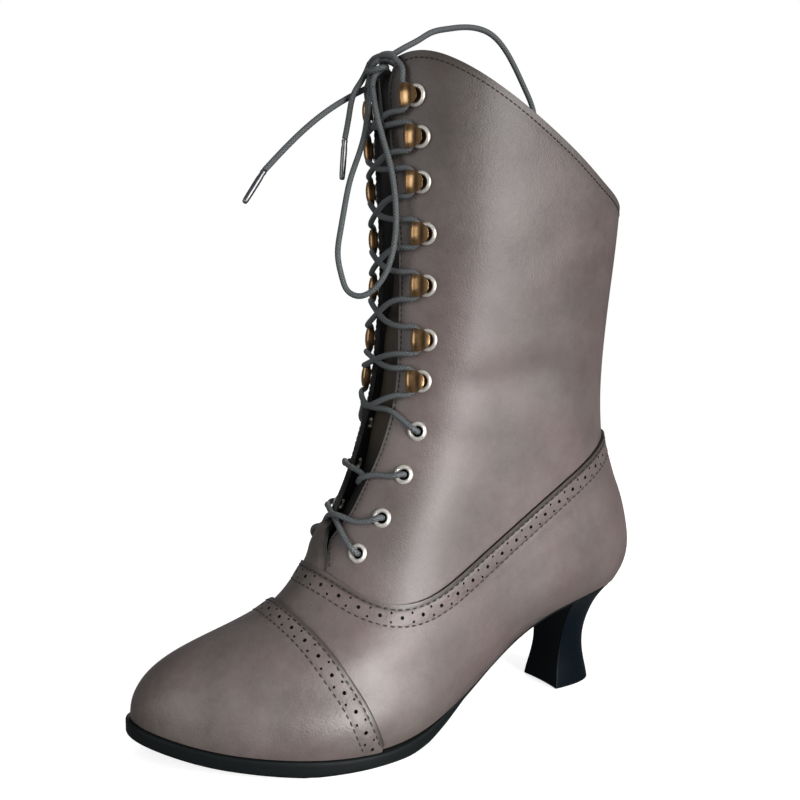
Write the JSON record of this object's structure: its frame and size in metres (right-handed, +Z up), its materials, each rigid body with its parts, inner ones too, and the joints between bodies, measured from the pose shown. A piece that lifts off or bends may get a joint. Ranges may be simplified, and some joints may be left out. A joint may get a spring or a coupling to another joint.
{
  "type": "lace-up ankle boot",
  "caption": "Left lace-up ankle boot in taupe leather with toe cap, galosh, brass speed hooks, round eyelets, a tied cord lace and a flared black heel.",
  "frame": {"origin": "on the floor, under the middle of the box round the boot without its bow", "axes": "+Z up, toe towards -Y, heel towards +Y, outer side of the foot towards +X"},
  "size_m": [0.085, 0.242, 0.3057],
  "materials": {
    "taupe_leather": "smooth semi-matte grained leather",
    "tongue_leather": "soft brown leather",
    "lining": "matte black lining",
    "sole_black": "black, satin edge",
    "heel_black": "black lacquer, glossy",
    "nickel": "bright nickel",
    "brass": "polished antique brass",
    "waxed_cord": "round waxed cord",
    "aglet_metal": "dark metal tip"
  },
  "bodies": {
    "root": {"upper": "taupe_leather", "galosh": "taupe_leather", "toe_cap": "taupe_leather", "tongue": "tongue_leather", "insole": "lining", "outsole": "sole_black", "heel": "heel_black", "eyelet_outer_1": "nickel", "eyelet_inner_1": "nickel", "eyelet_outer_2": "nickel", "eyelet_inner_2": "nickel", "eyelet_outer_3": "nickel", "eyelet_inner_3": "nickel", "eyelet_outer_4": "nickel", "eyelet_inner_4": "nickel", "hook_outer_1": "brass", "hook_inner_1": "brass", "hook_outer_2": "brass", "hook_inner_2": "brass", "hook_outer_3": "brass", "hook_inner_3": "brass", "hook_outer_4": "brass", "hook_inner_4": "brass", "hook_outer_5": "brass", "hook_inner_5": "brass", "hook_outer_6": "brass", "hook_inner_6": "brass", "hook_outer_7": "brass", "hook_inner_7": "brass", "lace_crossing_1": "waxed_cord", "lace_crossing_2": "waxed_cord", "lace_hook_crossings": "waxed_cord", "lace_knot": "waxed_cord", "lace_loop_back": "waxed_cord", "lace_loop_front": "waxed_cord", "lace_end_long": "waxed_cord", "lace_end_short": "waxed_cord", "aglet_long": "aglet_metal", "aglet_short": "aglet_metal"}
  },
  "joints": []
}
